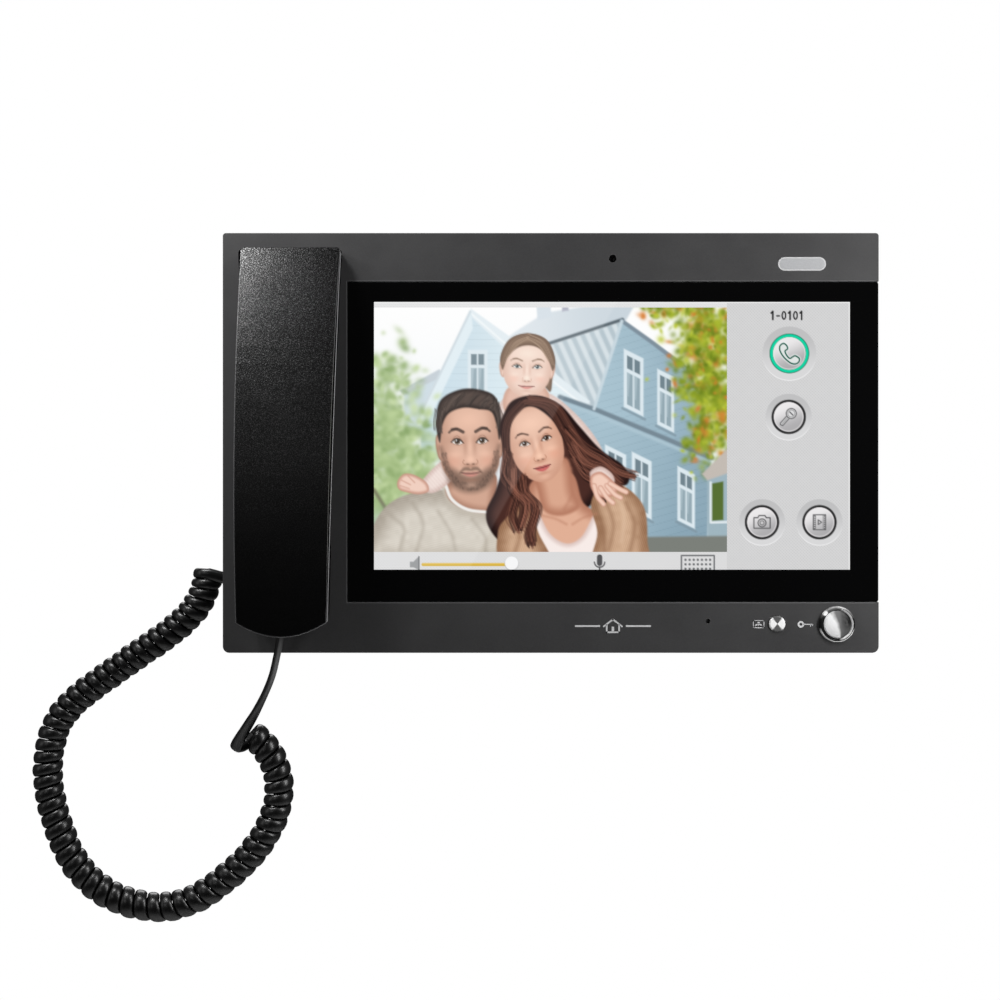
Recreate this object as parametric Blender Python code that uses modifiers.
"""Video intercom monitor: a wide touch panel with a corded handset, hung on a steel wall bracket.

Frame: +X to the viewer's right, +Y into the wall, +Z up. The origin lies on the wall, behind the middle of
the monitor. Depth is written as y: 0 on the wall, and more negative towards the person using it.
"""

import math

import bmesh
import bpy
from mathutils import Matrix, Vector

MM = 0.001
GAP = 0.3 * MM  # air between pieces that rest on each other
LONG = 20 * MM  # how far a cutter runs past the wall it cuts

# Monitor casing. The front case is a tray with its face forward; the rear cover nests inside its skirt.
BODY_WIDTH = 307 * MM
BODY_HEIGHT = 196.5 * MM
FACE_Y = -34 * MM
SKIRT_BACK_Y = -24 * MM
FACE_WALL = 2.5 * MM
TOP_CORNER = 1.4 * MM
BOTTOM_CORNER = 3.0 * MM
COVER_INSET = FACE_WALL + 0.6 * MM
COVER_FRONT_Y = -27 * MM
COVER_RIM_Y = -0.5 * MM
COVER_BACK_Y = -2.7 * MM
COVER_WALL = 2.2 * MM
COVER_CORNER = 5.0 * MM
COVER_INNER_Y = COVER_BACK_Y - COVER_WALL

# Display: a 10.1 inch 16:9 panel behind a cover glass that runs out to the right-hand edge of the case.
ACTIVE_WIDTH = 222.72 * MM
ACTIVE_HEIGHT = 125.28 * MM
ACTIVE_X = 28.65 * MM
ACTIVE_Z = 3.35 * MM
GLASS_LEFT = -95.1 * MM
GLASS_RIGHT = BODY_WIDTH / 2 - 0.1 * MM
GLASS_BOTTOM = -74.4 * MM
GLASS_TOP = 75.5 * MM
GLASS_THICK = 1.8 * MM
GLASS_PLAY = 0.2 * MM
ADHESIVE_THICK = 0.4 * MM
LEDGE_Y = FACE_Y + 2.5 * MM
LEDGE_THICK = 1.2 * MM
MODULE_WIDTH = 235 * MM
MODULE_HEIGHT = 143 * MM
CELL_FRONT_Y = -30.1 * MM
CELL_THICK = 1.6 * MM
BACKLIGHT_THICK = 3.4 * MM
CHASSIS_Y = -24.5 * MM

# Handset: a bowed bar whose two cups sit in wells in the face. Its sides lean in towards the monitor.
HANDSET_TOP_X = -120.6 * MM
HANDSET_BOTTOM_X = -121.8 * MM
HANDSET_TOP = 90.3 * MM
HANDSET_BOTTOM = -88.4 * MM
HANDSET_TOP_HALF = 23.0 * MM
HANDSET_BOTTOM_HALF = 20.3 * MM
HANDSET_END_SAGITTA = 6.7 * MM
HANDSET_CORNER = 1.6 * MM
SHELL_SWELL = 1.15 * MM  # how far the back shell stands out beyond the front cover, half-way down
SIDE_LEAN = 0.095  # how far a side moves in for each unit of depth
END_LEAN = 0.05
BOW_RADIUS = 326.5 * MM
BOW_APEX_Z = -40 * MM
BOW_APEX_HEIGHT = 36 * MM
GRIP_THICK = 15 * MM
CUP_DEPTH = 6 * MM  # how far a cup reaches below the face
EAR_CUP_EDGE = 50 * MM
MOUTH_CUP_EDGE = -54 * MM
GRIP_UPPER_END = 36 * MM
GRIP_LOWER_END = -42 * MM
HANDSET_WALL = 2.0 * MM
PARTING_DEPTH = 5.0 * MM  # below the front, where the cover meets the back shell
SIDE_STEPS = 12
WELL_DEPTH = 7 * MM
WELL_WALL = 1.6 * MM
WELL_GAP_LEFT = 3.2 * MM
WELL_GAP_RIGHT = 0.4 * MM
WELL_GAP_ENDS = 0.8 * MM
CUP_SLOPE_ROOM = 6 * MM  # the well reaches this far past a cup's edge, where the cup slopes up to the grip
RECEIVER_Z = 69 * MM
EAR_X = -120.9 * MM
GRIP_X = -121.3 * MM
MOUTH_X = -121.7 * MM
TRANSMITTER_Z = -73 * MM
MAGNET_Z = -61 * MM
CORD_PLUG_Y = FACE_Y - 14 * MM
HANDSET_SCREWS = (26 * MM, -34 * MM)

# Controls and windows on the face.
CAMERA = (29.0 * MM, 86.3 * MM)
CAMERA_HOLE = 1.85 * MM
INDICATOR = (117.6 * MM, 83.8 * MM)
INDICATOR_WIDTH = 22.8 * MM
INDICATOR_HEIGHT = 6.7 * MM
MICROPHONE = (73.6 * MM, -83.4 * MM)
MICROPHONE_HOLE = 1.1 * MM
MONITOR_BUTTON = (105.9 * MM, -84.6 * MM)
MONITOR_BUTTON_RADIUS = 3.75 * MM
UNLOCK_BUTTON = (133.9 * MM, -84.8 * MM)
UNLOCK_BUTTON_RADIUS = 6.45 * MM
DOME_RADIUS = 13.5 * MM
BUTTON_PLAY = 0.2 * MM
BUTTON_FOOT_Y = -29.6 * MM
KEY_BOARD_Y = -24.5 * MM
SWITCH_HEIGHT = 3.4 * MM

# Hook switch: a sprung plunger under the ear cup.
HOOK = (EAR_X, 58 * MM)
HOOK_RADIUS = 2.5 * MM
HOOK_BOARD_Y = -11.8 * MM
HOOK_FLANGE_Y = -20.5 * MM

# Wall bracket.
BRACKET_WIDTH = 140 * MM
BRACKET_HEIGHT = 100 * MM
BRACKET_THICK = 1.5 * MM
HOOK_LIP = 7 * MM
UNHOOK_TRAVEL = 8 * MM
BRACKET_HOOKS = [(x * MM, z * MM) for x in (-52, 52) for z in (-40, 30)]
WALL_SCREW_SPACING = 60 * MM

# Circuit boards and connectors.
BOARD_THICK = 1.6 * MM
MAIN_BOARD_X = (-35 * MM, 115 * MM)
MAIN_BOARD_Z = (-45 * MM, 50 * MM)
MAIN_BOARD_Y = -19 * MM
BAY_X = (-30 * MM, 30 * MM)
BAY_Z = (-38 * MM, -3 * MM)
SPEAKER = (-121 * MM, 0.0)
SPEAKER_RADIUS = 20 * MM

# Handset cord: a flat cord wound into a coil that lies near the wall.
CORD_RADIUS = 1.9 * MM
COIL_RADIUS = 6.0 * MM
COIL_TURNS = 57
COIL_POINTS_A_TURN = 8
COIL_Y = -8.3 * MM
CORD_SOCKET_Z = -65 * MM
CORD_SOCKET_Y = -12 * MM
# The coil's centre line, from the monitor's socket round to the handset, as (x, z).
COIL_PATH = [
    Vector((x * MM, COIL_Y, z * MM))
    for x, z in (
        (-169, -68), (-171, -79), (-188, -96), (-209, -108), (-229, -122), (-242, -140), (-245, -162),
        (-240, -186), (-228, -210), (-207, -223), (-182, -224), (-157, -211), (-139, -192), (-132, -168),
        (-138, -149), (-146, -143),
    )
]

# Screws that hold the two halves of the casing.
SCREW_PLACES = [
    (x * MM, z * MM)
    for x, z in (
        (-144, 30), (-144, -38), (-60, 86), (-60, -86), (50, 86), (50, -86), (144.5, 84), (144.5, -73),
    )
]
BOSS_RADIUS = 3.4 * MM
BOSS_BACK_Y = -8 * MM
SCREW_RADIUS = 1.4 * MM

# what moves with the handset
HANDSET_PIECES = [
    "handset_back_shell",
    "handset_front_cover",
    "handset_cord_socket",
    "handset_keeper_plate",
    "handset_weight",
    "handset_screw_upper",
    "handset_screw_lower",
    "receiver_capsule",
    "receiver_gasket",
    "transmitter_capsule",
    "cord_lead",
]
PIVOT_SIZE = 20 * MM

model = bpy.data.collections.new("video_intercom_monitor")
cutters = bpy.data.collections.new("cutters")
materials = {}


def material(name, colour, roughness, metallic=0.0):
    made = bpy.data.materials.new(name)
    made.use_nodes = True
    shader = made.node_tree.nodes["Principled BSDF"]
    shader.inputs["Base Color"].default_value = (*colour, 1.0)
    shader.inputs["Roughness"].default_value = roughness
    shader.inputs["Metallic"].default_value = metallic
    materials[name] = made


def make_materials():
    material("charcoal_plastic", (0.07, 0.07, 0.072), 0.5)
    material("black_plastic", (0.012, 0.012, 0.013), 0.4)
    material("black_glass", (0.004, 0.004, 0.005), 0.05)
    material("screen", (0.5, 0.5, 0.5), 0.3)
    material("lamp_lens", (0.62, 0.62, 0.64), 0.35)
    material("chrome", (0.8, 0.8, 0.81), 0.08, 1.0)
    material("steel", (0.5, 0.5, 0.52), 0.35, 1.0)
    material("circuit_board", (0.02, 0.16, 0.07), 0.5)
    material("component", (0.03, 0.03, 0.03), 0.45)
    material("terminal_green", (0.04, 0.3, 0.1), 0.45)
    material("cord", (0.01, 0.01, 0.01), 0.3)
    material("rubber", (0.02, 0.02, 0.02), 0.8)
    material("clear_plastic", (0.7, 0.72, 0.72), 0.2)


def place(obj, collection, material_name=None):
    for owner in list(obj.users_collection):
        owner.objects.unlink(obj)
    collection.objects.link(obj)
    if material_name:
        obj.data.materials.append(materials[material_name])
    obj.hide_render = collection is cutters
    obj.display_type = "WIRE" if collection is cutters else "TEXTURED"
    return obj


def part(obj, name, material_name):
    """Names obj as a piece of the monitor and gives it its material."""
    obj.name = obj.data.name = name
    return place(obj, model, material_name)


def mesh_object(name, mesh_data):
    return place(bpy.data.objects.new(name, mesh_data), cutters)


def from_bmesh(name, shape):
    mesh_data = bpy.data.meshes.new(name)
    shape.to_mesh(mesh_data)
    shape.free()
    return mesh_object(name, mesh_data)


def block(x, y, z, name="block"):
    """A box between pairs of limits along each axis."""
    shape = bmesh.new()
    bmesh.ops.create_cube(shape, size=1.0)
    middle = Vector([(low + high) / 2 for low, high in (x, y, z)])
    size = Vector([abs(high - low) for low, high in (x, y, z)])
    bmesh.ops.scale(shape, vec=size, verts=shape.verts)
    bmesh.ops.translate(shape, vec=middle, verts=shape.verts)
    return from_bmesh(name, shape)


def disc(centre, radius, y, sides=24, name="disc"):
    """A cylinder along Y round (x, z), between two depths."""
    shape = bmesh.new()
    bmesh.ops.create_cone(
        shape, cap_ends=True, segments=sides, radius1=radius, radius2=radius, depth=abs(y[1] - y[0])
    )
    turn = Matrix.Rotation(math.radians(90), 4, "X")
    shift = Matrix.Translation((centre[0], (y[0] + y[1]) / 2, centre[1]))
    bmesh.ops.transform(shape, matrix=shift @ turn, verts=shape.verts)
    made = from_bmesh(name, shape)
    made.data.shade_smooth()
    made.data.set_sharp_from_angle(angle=math.radians(40))
    return made


def meshed(curve_object):
    """The curve as a closed mesh object, because a curve can't be cut or cut with."""
    bpy.context.scene.collection.objects.link(curve_object)
    bpy.context.view_layer.update()
    graph = bpy.context.evaluated_depsgraph_get()
    mesh_data = bpy.data.meshes.new_from_object(curve_object.evaluated_get(graph))
    shape = bmesh.new()
    shape.from_mesh(mesh_data)
    bmesh.ops.remove_doubles(shape, verts=shape.verts, dist=0.002 * MM)
    shape.to_mesh(mesh_data)
    shape.free()
    made = mesh_object("outline", mesh_data)
    made.matrix_world = curve_object.matrix_world.copy()
    bpy.data.objects.remove(curve_object)
    return made


def outline_solid(points, low, high, matrix):
    """A closed 2D outline, pushed along its own Z from low to high and then turned by matrix."""
    curve = bpy.data.curves.new("outline", "CURVE")
    curve.dimensions = "2D"
    curve.fill_mode = "BOTH"
    curve.extrude = abs(high - low) / 2
    spline = curve.splines.new("POLY")
    spline.points.add(len(points) - 1)
    for point, (a, b) in zip(spline.points, points):
        point.co = (a, b, 0.0, 1.0)
    spline.use_cyclic_u = True
    curve_object = bpy.data.objects.new("outline", curve)
    curve_object.matrix_world = matrix @ Matrix.Translation((0, 0, (low + high) / 2))
    return meshed(curve_object)


def face_prism(points, y):
    """An outline of (x, z) points, running between two depths."""
    return outline_solid(points, -y[0], -y[1], Matrix.Rotation(math.radians(90), 4, "X"))


def side_prism(points, x):
    """An outline of (y, z) points, running between two x places."""
    turn = Matrix(((0, 0, 1, 0), (1, 0, 0, 0), (0, 1, 0, 0), (0, 0, 0, 1)))
    return outline_solid(points, x[0], x[1], turn)


def turned(profile, centre, steps=32, closed=False):
    """A round piece about an axis along Y; its profile is (radius, y) from the front down its outside."""
    mesh_data = bpy.data.meshes.new("turned")
    verts = [(radius, 0.0, -y) for radius, y in profile]
    edges = [(i, i + 1) for i in range(len(verts) - 1)]
    if closed:
        edges.append((len(verts) - 1, 0))
    mesh_data.from_pydata(verts, edges, [])
    made = mesh_object("turned", mesh_data)
    made.matrix_world = Matrix.Translation((centre[0], 0, centre[1])) @ Matrix.Rotation(
        math.radians(90), 4, "X"
    )
    screw = made.modifiers.new("turn", "SCREW")
    screw.steps = screw.render_steps = steps
    screw.use_merge_vertices = True
    screw.merge_threshold = 0.001 * MM
    return made


def wire(points, radius, sides_resolution=2):
    """A round wire through the points."""
    curve = bpy.data.curves.new("wire", "CURVE")
    curve.dimensions = "3D"
    curve.bevel_depth = radius
    curve.bevel_resolution = sides_resolution
    curve.use_fill_caps = True
    spline = curve.splines.new("POLY")
    spline.points.add(len(points) - 1)
    for point, place_of in zip(spline.points, points):
        point.co = (*place_of, 1.0)
    return meshed(bpy.data.objects.new("wire", curve))


def boolean(target, operation, *others):
    for other in others:
        step = target.modifiers.new(operation.lower(), "BOOLEAN")
        step.operation = operation
        step.object = other
    return target


def soften(target, width, segments=2, angle=40):
    """Rounds the edges that turn by more than angle degrees."""
    edge = target.modifiers.new("soft edge", "BEVEL")
    edge.width = width
    edge.segments = segments
    edge.limit_method = "ANGLE"
    edge.angle_limit = math.radians(angle)
    return target


def join(target, *others):
    return boolean(target, "UNION", *others)


def cut(target, *others):
    return boolean(target, "DIFFERENCE", *others)


def common(target, other):
    return boolean(target, "INTERSECT", other)


def arc(centre, radius, start, end, steps):
    """Points of an arc, its angles in degrees."""
    angles = [math.radians(start + (end - start) * i / steps) for i in range(steps + 1)]
    return [(centre[0] + radius * math.cos(a), centre[1] + radius * math.sin(a)) for a in angles]


def rounded(x, z, radii, steps=5):
    """A rectangle's outline with its own radius at each corner, from the lower left round anticlockwise."""
    left, right = x
    low, high = z
    corners = [
        ((left + radii[0], low + radii[0]), radii[0], 180),
        ((right - radii[1], low + radii[1]), radii[1], 270),
        ((right - radii[2], high - radii[2]), radii[2], 0),
        ((left + radii[3], high - radii[3]), radii[3], 90),
    ]
    return [p for centre, radius, start in corners for p in arc(centre, radius, start, start + 90, steps)]


def about(middle, width):
    return middle - width / 2, middle + width / 2


def body_outline(inset, corner=None):
    """The casing's outline, moved inwards by inset."""
    half_x, half_z = BODY_WIDTH / 2 - inset, BODY_HEIGHT / 2 - inset
    low, high = max(BOTTOM_CORNER - inset, 0.6 * MM), max(TOP_CORNER - inset, 0.6 * MM)
    radii = [corner] * 4 if corner else [low, low, high, high]
    return rounded((-half_x, half_x), (-half_z, half_z), radii)


def share_down(z):
    return (HANDSET_TOP - z) / (HANDSET_TOP - HANDSET_BOTTOM)


def handset_middle(z):
    return HANDSET_TOP_X + (HANDSET_BOTTOM_X - HANDSET_TOP_X) * share_down(z)


def handset_half(z, height):
    """Half the handset's width at a place along it, at a height above the face."""
    at_front = HANDSET_TOP_HALF + (HANDSET_BOTTOM_HALF - HANDSET_TOP_HALF) * share_down(z)
    return at_front - (bow(z) - height) * SIDE_LEAN


def handset_outline(height, inset=0.0, swell=0.0, gap_left=0.0, gap_right=0.0, gap_ends=0.0, steps=10):
    """The handset seen from the front at one height: square shoulders at the top, a shallow arc below."""
    low = HANDSET_BOTTOM + (bow(HANDSET_BOTTOM) - height) * END_LEAN + inset - gap_ends
    top = HANDSET_TOP - (bow(HANDSET_TOP) - height) * END_LEAN - inset + gap_ends

    def reach(z, gap):
        bulge = 0.3 + 0.7 * math.sin(math.pi * share_down(z))
        return handset_half(z, height) - inset + gap + swell * bulge

    shoulder = low + HANDSET_END_SAGITTA
    corner = HANDSET_CORNER
    bottom = []
    for i in range(steps + 1):
        across = -1 + 2 * i / steps
        half = reach(shoulder, gap_left if across < 0 else gap_right)
        x = handset_middle(shoulder) + across * half
        bottom.append((x, low + HANDSET_END_SAGITTA * across * across))
    sides = spread(shoulder, top - corner, SIDE_STEPS)[1:-1]
    right = [(handset_middle(z) + reach(z, gap_right), z) for z in sides]
    left = [(handset_middle(z) - reach(z, gap_left), z) for z in reversed(sides)]
    right_corner = (handset_middle(top) + reach(top, gap_right) - corner, top - corner)
    left_corner = (handset_middle(top) - reach(top, gap_left) + corner, top - corner)
    corners = arc(right_corner, corner, 0, 90, 3) + arc(left_corner, corner, 90, 180, 3)
    return bottom + right + corners + left


def handset_body(inset=0.0, swell=0.0):
    """A solid with the handset's leaning sides, running past it at the front and the back."""
    heights = (BOW_APEX_HEIGHT + 14 * MM, -12 * MM)
    rings = [
        [(x, FACE_Y - height, z) for x, z in handset_outline(height, inset, swell)] for height in heights
    ]
    count = len(rings[0])
    mesh_data = bpy.data.meshes.new("handset")
    faces = [tuple(range(count)), tuple(range(2 * count - 1, count - 1, -1))]
    for i in range(count):
        after = (i + 1) % count
        faces.append((i, count + i, count + after, after))
    mesh_data.from_pydata(rings[0] + rings[1], [], faces)
    return mesh_object("handset", mesh_data)


def bow(z):
    """Height of the handset's front above the face, a shallow arc along its length."""
    return BOW_APEX_HEIGHT - BOW_RADIUS + math.sqrt(BOW_RADIUS**2 - (z - BOW_APEX_Z) ** 2)


def spread(start, end, steps):
    return [start + (end - start) * i / steps for i in range(steps + 1)]


def handset_side(top_offset, underside_offset, past_ends, steps=16):
    """Side view of the handset as (y, z): the bowed front, then the cups and grip underneath."""
    front = [
        (FACE_Y - bow(z) - top_offset, z)
        for z in spread(HANDSET_TOP + past_ends, HANDSET_BOTTOM - past_ends, steps)
    ]
    cup_y = FACE_Y + CUP_DEPTH - underside_offset
    slope = 2.0 if underside_offset else 0.0
    grip = [
        (FACE_Y - bow(z) + GRIP_THICK - underside_offset, z)
        for z in spread(GRIP_LOWER_END - slope * MM, GRIP_UPPER_END + slope * MM, 8)
    ]
    return front + [
        (cup_y, HANDSET_BOTTOM - past_ends),
        (cup_y, MOUTH_CUP_EDGE - slope * MM),
        *grip,
        (cup_y, EAR_CUP_EDGE + slope * MM),
        (cup_y, HANDSET_TOP + past_ends),
    ]


def bow_slab(front_offset, back_offset, steps=20):
    """Side view of a layer that follows the bow, between two heights above or below it."""
    places = spread(HANDSET_TOP + LONG, HANDSET_BOTTOM - LONG, steps)
    front = [(FACE_Y - bow(z) - front_offset, z) for z in places]
    back = [(FACE_Y - bow(z) - back_offset, z) for z in reversed(places)]
    return front + back


def across_handset():
    return GRIP_X - 2 * HANDSET_TOP_HALF, GRIP_X + 2 * HANDSET_TOP_HALF


def through_face():
    return FACE_Y - LONG, FACE_Y + LONG


def well_cutter(z, grow=0.0, depth=WELL_DEPTH):
    """The room for one cup of the handset, or with grow the block that its walls are made from."""
    outline = handset_outline(0, -grow, SHELL_SWELL, WELL_GAP_LEFT, WELL_GAP_RIGHT, WELL_GAP_ENDS)
    front = FACE_Y - LONG if not grow else FACE_Y + 0.5 * MM
    whole = face_prism(outline, (front, FACE_Y + depth))
    return common(whole, block(across_handset(), (front - LONG, LONG), z))


def pill(centre, width, height, y):
    half = height / 2
    outline = rounded(about(centre[0], width), about(centre[1], height), [half - 0.01 * MM] * 4, 8)
    return face_prism(outline, y)


def make_front_case():
    case = soften(face_prism(body_outline(0), (FACE_Y, SKIRT_BACK_Y)), 0.5 * MM)
    hollow = face_prism(body_outline(FACE_WALL), (FACE_Y + FACE_WALL, SKIRT_BACK_Y + LONG))
    cut(case, hollow)
    edge = 3 * MM
    ledge = block(
        (GLASS_LEFT - edge, BODY_WIDTH / 2 - 1 * MM),
        (FACE_Y + 1 * MM, LEDGE_Y + LEDGE_THICK),
        (GLASS_BOTTOM - edge, GLASS_TOP + edge),
    )
    ear = (EAR_CUP_EDGE - CUP_SLOPE_ROOM, HANDSET_TOP + LONG)
    mouth = (HANDSET_BOTTOM - LONG, MOUTH_CUP_EDGE + CUP_SLOPE_ROOM)
    ear_block = (ear[0] - WELL_WALL, ear[1])
    mouth_block = (mouth[0], mouth[1] + WELL_WALL)
    join(
        case,
        ledge,
        well_cutter(ear_block, WELL_WALL, WELL_DEPTH + WELL_WALL),
        well_cutter(mouth_block, WELL_WALL, WELL_DEPTH + WELL_WALL),
    )
    for x, z in SCREW_PLACES:
        join(case, disc((x, z), BOSS_RADIUS, (FACE_Y + 2 * MM, BOSS_BACK_Y), 16))
    cut(case, well_cutter(ear), well_cutter(mouth))
    glass_room = block(
        (GLASS_LEFT - GLASS_PLAY, BODY_WIDTH / 2 + LONG),
        (FACE_Y - LONG, LEDGE_Y),
        (GLASS_BOTTOM - GLASS_PLAY, GLASS_TOP + GLASS_PLAY),
    )
    window = block(
        about(ACTIVE_X, ACTIVE_WIDTH + 5 * MM), through_face(), about(ACTIVE_Z, ACTIVE_HEIGHT + 5 * MM)
    )
    cut(case, glass_room, window)
    cut(
        case,
        disc(CAMERA, CAMERA_HOLE, through_face(), 20),
        disc(MICROPHONE, MICROPHONE_HOLE, through_face(), 16),
        disc(MONITOR_BUTTON, MONITOR_BUTTON_RADIUS + BUTTON_PLAY, through_face(), 28),
        disc(UNLOCK_BUTTON, UNLOCK_BUTTON_RADIUS + 1.3 * MM, through_face(), 32),
        disc(HOOK, HOOK_RADIUS + BUTTON_PLAY, through_face(), 20),
        pill(INDICATOR, INDICATOR_WIDTH, INDICATOR_HEIGHT, through_face()),
    )
    for x, z in SCREW_PLACES:
        cut(case, disc((x, z), SCREW_RADIUS + 0.1 * MM, (-21 * MM, 0), 12))
    part(case, "front_case", "charcoal_plastic")


def make_rear_cover():
    outline = body_outline(COVER_INSET, COVER_CORNER)
    cover = soften(face_prism(outline, (COVER_FRONT_Y, COVER_RIM_Y)), 0.8 * MM)
    inside = body_outline(COVER_INSET + COVER_WALL, COVER_CORNER - COVER_WALL)
    cut(
        cover,
        face_prism(inside, (COVER_FRONT_Y - LONG, COVER_INNER_Y)),
        face_prism(inside, (COVER_BACK_Y, COVER_RIM_Y + LONG)),
    )
    cup_depth = 2.9 * MM
    for centre in SCREW_PLACES:
        join(cover, disc(centre, 5.2 * MM, (COVER_INNER_Y - cup_depth, COVER_BACK_Y - 0.5 * MM), 20))
    for centre in SCREW_PLACES:
        head_room = disc(centre, 3.4 * MM, (COVER_INNER_Y - cup_depth + 1.6 * MM, LONG), 20)
        cut(cover, head_room, disc(centre, SCREW_RADIUS + 0.3 * MM, (-LONG, 0), 12))
    for x, z in BRACKET_HOOKS:
        slot_z = (z - UNHOOK_TRAVEL - 0.5 * MM, z + BRACKET_THICK + 0.5 * MM)
        cut(cover, block(about(x, 13 * MM), (-LONG, 0), slot_z))
    cut(cover, block(BAY_X, (-LONG, 0), BAY_Z))
    cut(cover, block((-151 * MM, -92 * MM), (-LONG * 2, SKIRT_BACK_Y - 0.7 * MM), (88 * MM, 100 * MM)))
    cut_speaker_grille(cover)
    cut_vents(cover)
    socket_hole = block(
        (-BODY_WIDTH / 2 - LONG, -BODY_WIDTH / 2 + LONG),
        about(CORD_SOCKET_Y, 9 * MM),
        about(CORD_SOCKET_Z, 9 * MM),
    )
    cut(cover, socket_hole)
    part(cover, "rear_cover", "charcoal_plastic")


def cut_speaker_grille(cover):
    """Slots across a circle, shorter towards its top and bottom."""
    reach, pitch = SPEAKER_RADIUS - 4 * MM, 4 * MM
    for row in range(-3, 4):
        z = row * pitch
        half = math.sqrt(reach**2 - z**2)
        slot = block(
            about(SPEAKER[0], 2 * half), (COVER_INNER_Y - 1 * MM, LONG), about(SPEAKER[1] + z, 1.8 * MM)
        )
        cut(cover, slot)


def cut_vents(cover):
    """A row of cooling slots through the top and bottom walls of the rear cover."""
    for wall_z in (BODY_HEIGHT / 2, -BODY_HEIGHT / 2):
        for index in range(8):
            x = (20 + 12 * index) * MM
            cut(cover, block(about(x, 8 * MM), (-20 * MM, -17.5 * MM), about(wall_z, LONG)))


def make_display():
    front = FACE_Y + 0.1 * MM
    x, z = (GLASS_LEFT, GLASS_RIGHT), (GLASS_BOTTOM, GLASS_TOP)
    glass = face_prism(rounded(x, z, [0.5 * MM, 1 * MM, 1 * MM, 0.5 * MM], 2), (front, front + GLASS_THICK))
    part(soften(glass, 0.25 * MM, 1), "touch_glass", "black_glass")
    tape_front = front + GLASS_THICK + 0.05 * MM
    inset = 1.5 * MM
    tape = block(
        (GLASS_LEFT + inset, GLASS_RIGHT - inset),
        (tape_front, tape_front + ADHESIVE_THICK),
        (GLASS_BOTTOM + inset, GLASS_TOP - inset),
    )
    opening = block(
        about(ACTIVE_X, ACTIVE_WIDTH + 6 * MM), through_face(), about(ACTIVE_Z, ACTIVE_HEIGHT + 6 * MM)
    )
    part(cut(tape, opening), "glass_adhesive", "rubber")
    module_x, module_z = about(ACTIVE_X, MODULE_WIDTH), about(ACTIVE_Z, MODULE_HEIGHT)
    cell_back = CELL_FRONT_Y + CELL_THICK
    part(block(module_x, (CELL_FRONT_Y, cell_back), module_z), "lcd_cell", "screen")
    back = cell_back + GAP + BACKLIGHT_THICK
    part(block(module_x, (cell_back + GAP, back), module_z), "lcd_backlight", "steel")
    make_chassis()


def make_chassis():
    """The steel plate behind the panel, with four posts that carry the main board."""
    thick = 1 * MM
    plate = block(
        (-91 * MM, 147 * MM), (CHASSIS_Y + GAP, CHASSIS_Y + GAP + thick), (-66 * MM, 75 * MM)
    )
    post_front = CHASSIS_Y + GAP + thick / 2
    for x in (MAIN_BOARD_X[0] + 5 * MM, MAIN_BOARD_X[1] - 5 * MM):
        for z in (MAIN_BOARD_Z[0] + 5 * MM, MAIN_BOARD_Z[1] - 5 * MM):
            join(plate, disc((x, z), 2.6 * MM, (post_front, MAIN_BOARD_Y - 0.1 * MM), 12))
    part(plate, "display_chassis", "steel")


def make_main_board():
    back = MAIN_BOARD_Y + BOARD_THICK
    part(block(MAIN_BOARD_X, (MAIN_BOARD_Y, back), MAIN_BOARD_Z), "main_board", "circuit_board")
    top = back + 0.1 * MM
    part(block((50 * MM, 92 * MM), (top, top + 3 * MM), (-6 * MM, 36 * MM)), "processor_shield", "steel")
    socket_y = (top, COVER_BACK_Y - 1.2 * MM)
    socket = block((-26 * MM, -10 * MM), socket_y, (-22 * MM, -6 * MM))
    mouth_y = (socket_y[0] + 2 * MM, socket_y[1] - 2 * MM)
    mouth = block((-24.3 * MM, -11.7 * MM), mouth_y, (-30 * MM, -9 * MM))
    part(cut(socket, mouth), "network_socket", "steel")
    make_terminal_block(top)
    part(disc((20 * MM, 28 * MM), 10 * MM, (top, top + 3.2 * MM), 24), "clock_battery", "steel")


def make_terminal_block(board_top):
    """Six screw terminals for the power and door wires, their entries facing down."""
    pitch, ways = 3.8 * MM, 6
    left = 1 * MM
    y = (board_top, board_top + 9.5 * MM)
    terminals = block((left, left + pitch * ways), y, (-20 * MM, -9 * MM))
    for way in range(ways):
        x = left + pitch * (way + 0.5)
        entry = block(about(x, 2.6 * MM), (y[0] + 1.2 * MM, y[0] + 4.6 * MM), (-24 * MM, -14 * MM))
        cut(terminals, entry, disc((x, -14.5 * MM), 1.2 * MM, (y[1] - 1.5 * MM, y[1] + LONG), 10))
    part(terminals, "terminal_block", "terminal_green")


def make_camera():
    barrel = turned(
        [(0, -30.2 * MM), (1.3 * MM, -30.5 * MM), (2.4 * MM, -31.2 * MM), (3.4 * MM, -31.2 * MM),
         (3.4 * MM, -27.4 * MM), (0, -27.4 * MM)],
        CAMERA,
        20,
    )
    part(barrel, "camera_module", "black_plastic")
    board = block(about(CAMERA[0], 22 * MM), (-27.2 * MM, -26.2 * MM), about(CAMERA[1], 11 * MM))
    part(board, "camera_board", "circuit_board")


def make_indicator():
    play = 0.3 * MM
    back = FACE_Y + FACE_WALL + GAP
    lens_y = (FACE_Y - 0.1 * MM, back + 1 * MM)
    lens = pill(INDICATOR, INDICATOR_WIDTH - play, INDICATOR_HEIGHT - play, lens_y)
    flange = pill(INDICATOR, INDICATOR_WIDTH + 3 * MM, INDICATOR_HEIGHT + 3 * MM, (back, back + 1.4 * MM))
    part(join(lens, flange), "indicator_lens", "lamp_lens")
    board = block(about(INDICATOR[0], 26 * MM), (-28.4 * MM, -27.4 * MM), about(INDICATOR[1], 10 * MM))
    part(board, "indicator_board", "circuit_board")


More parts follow.
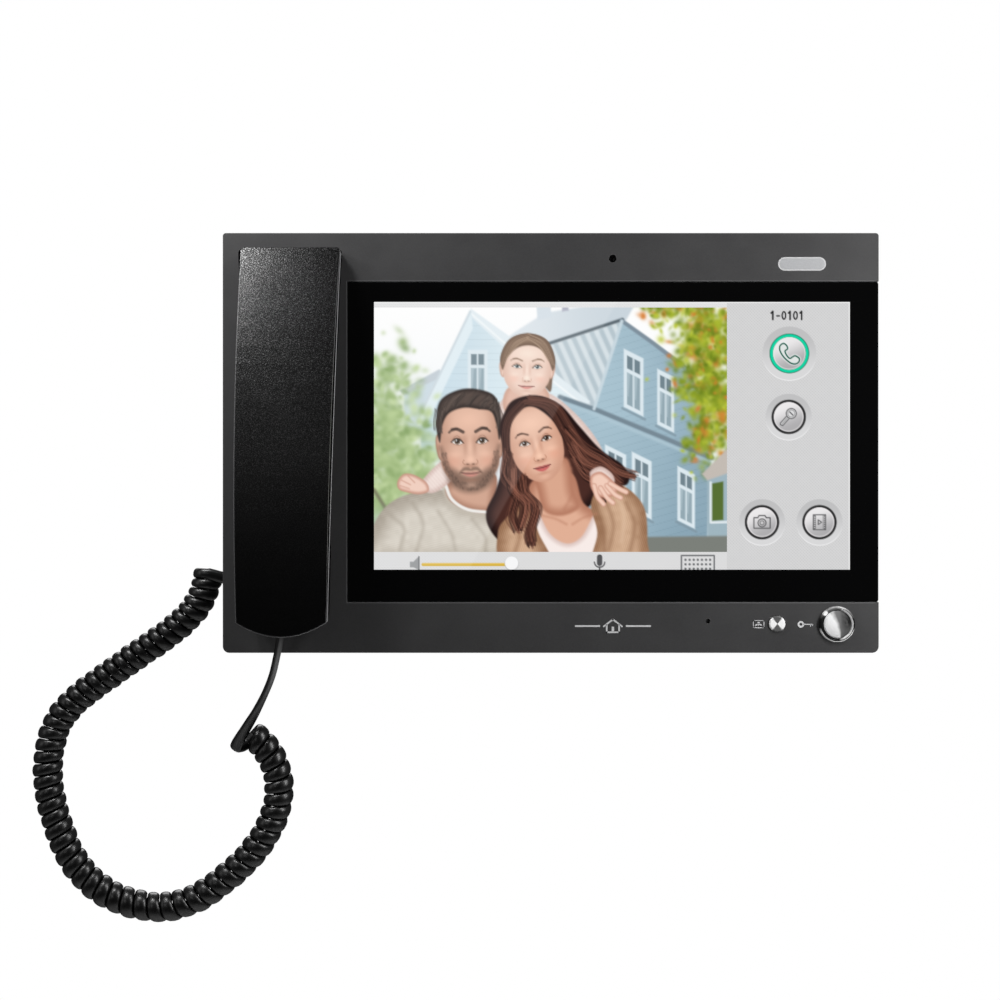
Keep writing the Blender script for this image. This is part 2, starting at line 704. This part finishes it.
def make_microphone():
    capsule = disc(MICROPHONE, 3.0 * MM, (-30.2 * MM, -26.8 * MM), 20)
    part(capsule, "microphone", "steel")
    boot = disc(MICROPHONE, 4.4 * MM, (FACE_Y + FACE_WALL + 0.1 * MM, -26.8 * MM), 20)
    sound_hole = disc(MICROPHONE, 1.0 * MM, through_face(), 12)
    seat = disc(MICROPHONE, 3.1 * MM, (-30.4 * MM, 0), 20)
    part(cut(boot, sound_hole, seat), "microphone_boot", "rubber")


def make_switch(centre, name):
    """A tactile switch on the key board, and the stem that its button pushes in."""
    y = (KEY_BOARD_Y - 0.1 * MM - SWITCH_HEIGHT, KEY_BOARD_Y - 0.1 * MM)
    body = block(about(centre[0], 6 * MM), y, about(centre[1], 6 * MM))
    bore = disc(centre, 1.9 * MM, (y[0] - LONG, y[0] + 2.4 * MM), 16)
    part(cut(body, bore), name, "component")
    stem = disc(centre, 1.7 * MM, (BUTTON_FOOT_Y + 0.1 * MM, y[0] + 0.9 * MM), 16)
    part(stem, name + "_stem", "black_plastic")


def dome(reach, peak_y, radius, steps):
    """Profile points of a shallow dome, from its peak out to reach."""
    return [(r, peak_y + radius - math.sqrt(radius**2 - r**2)) for r in spread(0, reach, steps)]


def make_buttons():
    unlock = turned(
        [
            *dome(5.9 * MM, -37.6 * MM, DOME_RADIUS, 5),
            (UNLOCK_BUTTON_RADIUS, -35.6 * MM),
            (UNLOCK_BUTTON_RADIUS, -30.8 * MM),
            (7.2 * MM, -30.8 * MM),
            (7.2 * MM, BUTTON_FOOT_Y),
            (0, BUTTON_FOOT_Y),
        ],
        UNLOCK_BUTTON,
        36,
    )
    part(unlock, "unlock_button", "chrome")
    inner = UNLOCK_BUTTON_RADIUS + BUTTON_PLAY
    ring = turned(
        [
            (inner, -35.4 * MM),
            (inner + 0.7 * MM, -35.9 * MM),
            (8.2 * MM, -35.4 * MM),
            (8.5 * MM, FACE_Y - 0.1 * MM),
            (UNLOCK_BUTTON_RADIUS + 1.2 * MM, FACE_Y - 0.1 * MM),
            (UNLOCK_BUTTON_RADIUS + 1.2 * MM, -31.3 * MM),
            (inner, -31.3 * MM),
        ],
        UNLOCK_BUTTON,
        36,
        closed=True,
    )
    part(ring, "unlock_button_ring", "chrome")
    monitor = turned(
        [
            (0, -35.1 * MM),
            (3.2 * MM, -35.1 * MM),
            (MONITOR_BUTTON_RADIUS, -34.7 * MM),
            (MONITOR_BUTTON_RADIUS, -31.2 * MM),
            (4.7 * MM, -31.2 * MM),
            (4.7 * MM, BUTTON_FOOT_Y),
            (0, BUTTON_FOOT_Y),
        ],
        MONITOR_BUTTON,
        32,
    )
    part(monitor, "monitor_button", "steel")
    board = block((94 * MM, 146 * MM), (KEY_BOARD_Y, KEY_BOARD_Y + BOARD_THICK), (-91 * MM, -78 * MM))
    part(board, "key_board", "circuit_board")
    make_switch(UNLOCK_BUTTON, "unlock_switch")
    make_switch(MONITOR_BUTTON, "monitor_switch")


def make_speaker():
    x, z = SPEAKER
    front = COVER_INNER_Y - 0.2 * MM
    frame = turned(
        [
            (9.5 * MM, front - 5.2 * MM),
            (12 * MM, front - 5.2 * MM),
            (SPEAKER_RADIUS, front - 2.4 * MM),
            (SPEAKER_RADIUS, front),
            (SPEAKER_RADIUS - 2 * MM, front),
            (SPEAKER_RADIUS - 2 * MM, front - 1.2 * MM),
            (9.5 * MM, front - 3.8 * MM),
        ],
        (x, z),
        32,
        closed=True,
    )
    part(frame, "speaker_frame", "steel")
    cone = turned(
        [
            (0, front - 3.2 * MM),
            (7 * MM, front - 3.2 * MM),
            (17.5 * MM, front - 0.8 * MM),
            (17.5 * MM, front - 0.4 * MM),
            (7 * MM, front - 2.4 * MM),
            (0, front - 2.4 * MM),
        ],
        (x, z),
        32,
    )
    part(cone, "speaker_cone", "black_plastic")
    part(disc((x, z), 9 * MM, (front - 11 * MM, front - 4 * MM), 28), "speaker_magnet", "steel")


def make_hook_switch():
    """The plunger that the ear cup holds down, its spring, and the switch that it works."""
    x, z = HOOK
    flange_back = HOOK_FLANGE_Y + 1.2 * MM
    plunger = turned(
        [
            (0, -27.8 * MM),
            (1.7 * MM, -27.7 * MM),
            (HOOK_RADIUS, -27.0 * MM),
            (HOOK_RADIUS, HOOK_FLANGE_Y),
            (4.6 * MM, HOOK_FLANGE_Y),
            (4.6 * MM, flange_back),
            (2.2 * MM, flange_back),
            (2.2 * MM, HOOK_BOARD_Y - 0.8 * MM),
            (0, HOOK_BOARD_Y - 0.8 * MM),
        ],
        HOOK,
        20,
    )
    arm_y = (HOOK_FLANGE_Y + 0.05 * MM, flange_back - 0.05 * MM)
    arm = block((x + 1 * MM, x + 12 * MM), arm_y, about(z, 4 * MM))
    part(join(plunger, arm), "hook_plunger", "black_plastic")
    turns, points = 5, 10
    start, end = flange_back + 0.6 * MM, HOOK_BOARD_Y - 0.6 * MM
    spiral = []
    for i in range(turns * points + 1):
        angle = 2 * math.pi * i / points
        y = start + (end - start) * i / (turns * points)
        spiral.append((x + 3.4 * MM * math.cos(angle), y, z + 3.4 * MM * math.sin(angle)))
    part(wire(spiral, 0.35 * MM, 0), "hook_spring", "steel")
    board = block(about(x, 36 * MM), (HOOK_BOARD_Y, HOOK_BOARD_Y + BOARD_THICK), about(z + 4 * MM, 28 * MM))
    part(board, "hook_board", "circuit_board")
    switch = block(
        (x + 6.5 * MM, x + 15 * MM), (flange_back + 0.2 * MM, HOOK_BOARD_Y - 0.1 * MM), about(z, 6 * MM)
    )
    part(switch, "hook_microswitch", "component")


def make_cord_socket():
    """The monitor's cord socket, behind the hole in the left-hand wall."""
    outer = -BODY_WIDTH / 2 + COVER_INSET + COVER_WALL + GAP
    socket = block(
        (outer, outer + 15 * MM), about(CORD_SOCKET_Y, 11 * MM), about(CORD_SOCKET_Z, 11 * MM)
    )
    mouth = block(
        (outer - LONG, outer + 10 * MM), about(CORD_SOCKET_Y, 7 * MM), about(CORD_SOCKET_Z, 8 * MM)
    )
    part(cut(socket, mouth), "base_cord_socket", "component")


def catmull(points, samples):
    """Points along a smooth curve through the given ones."""
    padded = [2 * points[0] - points[1], *points, 2 * points[-1] - points[-2]]
    found = []
    for a, b, c, d in zip(padded, padded[1:], padded[2:], padded[3:]):
        for i in range(samples):
            t = i / samples
            bend = (2 * a - 5 * b + 4 * c - d) * t * t + (3 * b - a - 3 * c + d) * t**3
            found.append(0.5 * (2 * b + (c - a) * t + bend))
    return found + [points[-1]]


def evenly(points, count):
    """The same path as count points an equal distance apart."""
    lengths = [0.0]
    for a, b in zip(points, points[1:]):
        lengths.append(lengths[-1] + (b - a).length)
    found, at = [], 0
    for i in range(count):
        want = lengths[-1] * i / (count - 1)
        while at < len(points) - 2 and lengths[at + 1] < want:
            at += 1
        share = (want - lengths[at]) / (lengths[at + 1] - lengths[at])
        found.append(points[at].lerp(points[at + 1], share))
    return found


def make_cord():
    """The coil, with its plain end and plug at the monitor."""
    centres = evenly(catmull(COIL_PATH, 20), COIL_TURNS * COIL_POINTS_A_TURN + 1)
    wall_normal = Vector((0, -1, 0))
    coil = []
    for i, centre in enumerate(centres):
        before, after = centres[max(i - 1, 0)], centres[min(i + 1, len(centres) - 1)]
        along = (after - before).normalized()
        across = along.cross(wall_normal)
        angle = 2 * math.pi * i / COIL_POINTS_A_TURN
        coil.append(centre + COIL_RADIUS * (math.cos(angle) * across + math.sin(angle) * wall_normal))
    plug_x = -BODY_WIDTH / 2 - 1 * MM
    tail = [
        Vector((plug_x + 3 * MM, CORD_SOCKET_Y, CORD_SOCKET_Z)),
        Vector((plug_x - 1 * MM, CORD_SOCKET_Y, CORD_SOCKET_Z)),
    ]
    cord = wire(tail + coil, CORD_RADIUS, 0)
    plug = block(
        (plug_x + 1.5 * MM, -139.5 * MM), about(CORD_SOCKET_Y, 6.2 * MM), about(CORD_SOCKET_Z, 7.2 * MM)
    )
    bore = block(
        (plug_x, plug_x + 3.5 * MM), about(CORD_SOCKET_Y, 4.5 * MM), about(CORD_SOCKET_Z, 4.5 * MM)
    )
    part(cut(plug, bore), "base_cord_plug", "clear_plastic")
    part(cord, "cord_coil", "cord")


def make_handset():
    make_back_shell()
    make_front_cover()
    make_handset_insides()
    make_cord_lead()


def make_back_shell():
    shell = side_prism(handset_side(-PARTING_DEPTH - GAP, 0, 10 * MM), across_handset())
    soften(common(shell, handset_body(swell=SHELL_SWELL)), 0.5 * MM, 1)
    hollow = side_prism(handset_side(20 * MM, HANDSET_WALL, 10 * MM), across_handset())
    cut(shell, common(hollow, handset_body(HANDSET_WALL)))
    cup_y = (FACE_Y + CUP_DEPTH - HANDSET_WALL - 1 * MM, FACE_Y + CUP_DEPTH + 1 * MM)
    for x, z in ear_holes():
        cut(shell, disc((x, z), 1.1 * MM, cup_y, 8))
    for offset in (-4, 0, 4):
        cut(shell, disc((MOUTH_X + offset * MM, TRANSMITTER_Z), 0.9 * MM, cup_y, 8))
    cut(shell, block(about(MOUTH_X, 8.4 * MM), about(CORD_PLUG_Y, 7.4 * MM), (-110 * MM, -80 * MM)))
    for z in HANDSET_SCREWS:
        cut(shell, disc((GRIP_X, z), 1.6 * MM, (grip_inside(z) - 3 * MM, FACE_Y + LONG), 12))
    part(shell, "handset_back_shell", "black_plastic")


def make_front_cover():
    cover = side_prism(bow_slab(0, -PARTING_DEPTH, 26), across_handset())
    soften(common(cover, handset_body()), 0.6 * MM, 2)
    hollow = side_prism(bow_slab(-HANDSET_WALL, -PARTING_DEPTH - 10 * MM), across_handset())
    cut(cover, common(hollow, handset_body(HANDSET_WALL)))
    for z in HANDSET_SCREWS:
        join(cover, disc((GRIP_X, z), 3.2 * MM, (FACE_Y - bow(z) + 1.5 * MM, grip_inside(z) - 1 * MM), 14))
    for z in HANDSET_SCREWS:
        cut(cover, disc((GRIP_X, z), 1.2 * MM, (FACE_Y - bow(z) + 4 * MM, LONG), 12))
    part(cover, "handset_front_cover", "black_plastic")


def ear_holes():
    ring = arc((EAR_X, RECEIVER_Z), 5 * MM, 0, 300, 5)
    return [(EAR_X, RECEIVER_Z), *ring]


def grip_inside(z):
    """Depth of the inner face of the grip's wall."""
    return FACE_Y - bow(z) + GRIP_THICK - HANDSET_WALL


def make_handset_insides():
    cup_floor = FACE_Y + CUP_DEPTH - HANDSET_WALL
    ear = (EAR_X, RECEIVER_Z)
    foam = disc(ear, 13 * MM, (cup_floor - 1 * MM, cup_floor - 0.1 * MM), 28)
    part(cut(foam, disc(ear, 8 * MM, (-2 * LONG, LONG), 24)), "receiver_gasket", "rubber")
    receiver = disc(ear, 14.5 * MM, (cup_floor - 7.6 * MM, cup_floor - 1.1 * MM), 28)
    part(receiver, "receiver_capsule", "steel")
    mouth = (MOUTH_X, TRANSMITTER_Z)
    transmitter = disc(mouth, 4.8 * MM, (cup_floor - 5 * MM, cup_floor - 0.2 * MM), 20)
    part(transmitter, "transmitter_capsule", "steel")
    keeper = disc((MOUTH_X, MAGNET_Z), 5 * MM, (cup_floor - 2.2 * MM, cup_floor - 0.2 * MM), 20)
    part(keeper, "handset_keeper_plate", "steel")
    magnet = disc((MOUTH_X, MAGNET_Z), 5 * MM, (-24.8 * MM, -21.8 * MM), 20)
    part(magnet, "cradle_magnet", "steel")
    weight_y = (grip_inside(0) - 6 * MM, grip_inside(0) - 2.6 * MM)
    part(block(about(GRIP_X, 24 * MM), weight_y, (-24 * MM, 16 * MM)), "handset_weight", "steel")
    socket = block(about(MOUTH_X, 11 * MM), about(CORD_PLUG_Y, 9.6 * MM), (-83.8 * MM, -66 * MM))
    mouth_cut = block(about(MOUTH_X, 8 * MM), about(CORD_PLUG_Y, 6.8 * MM), (-100 * MM, -73 * MM))
    part(cut(socket, mouth_cut), "handset_cord_socket", "component")
    for name, z in zip(("handset_screw_upper", "handset_screw_lower"), HANDSET_SCREWS):
        head = FACE_Y - bow(z) + GRIP_THICK
        profile = [
            (0, head - 9.5 * MM),
            (1.0 * MM, head - 9.5 * MM),
            (1.0 * MM, head - 1.4 * MM),
            (1.4 * MM, head - 1.4 * MM),
            (1.4 * MM, head - 0.6 * MM),
            (0, head - 0.6 * MM),
        ]
        part(turned(profile, (GRIP_X, z), 12), name, "steel")


def make_cord_lead():
    """The plain end of the cord, from its plug in the handset down to where the coil ends."""
    places = (
        (-121.7, -48, -88), (-122.2, -47.4, -96), (-124.6, -43, -106), (-129, -33, -118),
        (-136, -21.5, -130), (-144, -13, -140),
    )
    route = [Vector((x * MM, y * MM, z * MM)) for x, y, z in places]
    lead = wire(evenly(catmull(route, 8), 22), CORD_RADIUS, 1)
    plug = block(about(MOUTH_X, 7.2 * MM), about(CORD_PLUG_Y, 6.0 * MM), (-90.5 * MM, -74.5 * MM))
    part(join(lead, plug), "cord_lead", "cord")


def make_bracket():
    plate_y = (-BRACKET_THICK, 0)
    outline = rounded(about(0, BRACKET_WIDTH), about(0, BRACKET_HEIGHT), [6 * MM] * 4)
    plate = face_prism(outline, plate_y)
    for x, z in BRACKET_HOOKS:
        reach = COVER_INNER_Y - 0.6 * MM - BRACKET_THICK
        stem = block(about(x, 10 * MM), (reach, -BRACKET_THICK / 2), (z, z + BRACKET_THICK))
        lip_y = (reach, reach + BRACKET_THICK)
        lip = block(about(x, 10 * MM), lip_y, (z + BRACKET_THICK / 2, z + HOOK_LIP))
        join(plate, stem, lip)
    for x in (-WALL_SCREW_SPACING / 2, WALL_SCREW_SPACING / 2):
        slot = rounded(about(x, 9 * MM), about(0, 4.5 * MM), [2.2 * MM] * 4)
        cut(plate, face_prism(slot, (-LONG, LONG)))
    for z in (-42 * MM, 42 * MM):
        cut(plate, disc((0, z), 2.25 * MM, (-LONG, LONG), 20))
    cut(plate, block((-25 * MM, 25 * MM), (-LONG, LONG), (-35 * MM, -6 * MM)))
    part(plate, "wall_bracket", "steel")


def make_case_screws():
    head_front = COVER_INNER_Y - 1.2 * MM
    for index, centre in enumerate(SCREW_PLACES, 1):
        screw = turned(
            [
                (0, -19 * MM),
                (SCREW_RADIUS, -19 * MM),
                (SCREW_RADIUS, head_front),
                (2.8 * MM, head_front),
                (2.8 * MM, head_front + 1.4 * MM),
                (1.9 * MM, head_front + 2.0 * MM),
                (0, head_front + 2.0 * MM),
            ],
            centre,
            14,
        )
        part(screw, f"case_screw_{index}", "steel")


def pivot(name, place, pieces, under=None):
    """Stands an empty on a joint's axis and hangs the pieces that the joint moves on it."""
    made = bpy.data.objects.new(name, None)
    made.empty_display_size = PIVOT_SIZE
    made.location = place
    made.parent = under
    model.objects.link(made)
    for piece in pieces:
        piece.parent = made
        piece.matrix_parent_inverse = Matrix.Translation(-Vector(place))
    return made


def make_pivots():
    """The monitor slides up its bracket. The handset, the hook and both buttons move on the monitor."""
    unlock, view = UNLOCK_BUTTON, MONITOR_BUTTON
    on_monitor = {
        "handset_lift": ((GRIP_X, FACE_Y, 0.0), HANDSET_PIECES),
        "hook_rise": ((HOOK[0], HOOK_FLANGE_Y, HOOK[1]), ["hook_plunger"]),
        "unlock_press": ((unlock[0], FACE_Y, unlock[1]), ["unlock_button", "unlock_switch_stem"]),
        "monitor_press": ((view[0], FACE_Y, view[1]), ["monitor_button", "monitor_switch_stem"]),
    }
    still = {"wall_bracket"}.union(*(names for _, names in on_monitor.values()))
    carried = [obj for obj in model.objects if obj.name not in still]
    monitor = pivot("unhook_slide", (0.0, 0.0, 0.0), carried)
    for name, (place, names) in on_monitor.items():
        pivot(name, place, [model.objects[piece] for piece in names], monitor)


def main():
    for obj in list(bpy.data.objects):
        bpy.data.objects.remove(obj)
    bpy.context.scene.collection.children.link(model)
    bpy.context.scene.collection.children.link(cutters)
    make_materials()
    make_front_case()
    make_rear_cover()
    make_display()
    make_main_board()
    make_camera()
    make_indicator()
    make_microphone()
    make_buttons()
    make_speaker()
    make_hook_switch()
    make_cord_socket()
    make_cord()
    make_handset()
    make_bracket()
    make_case_screws()
    make_pivots()


main()
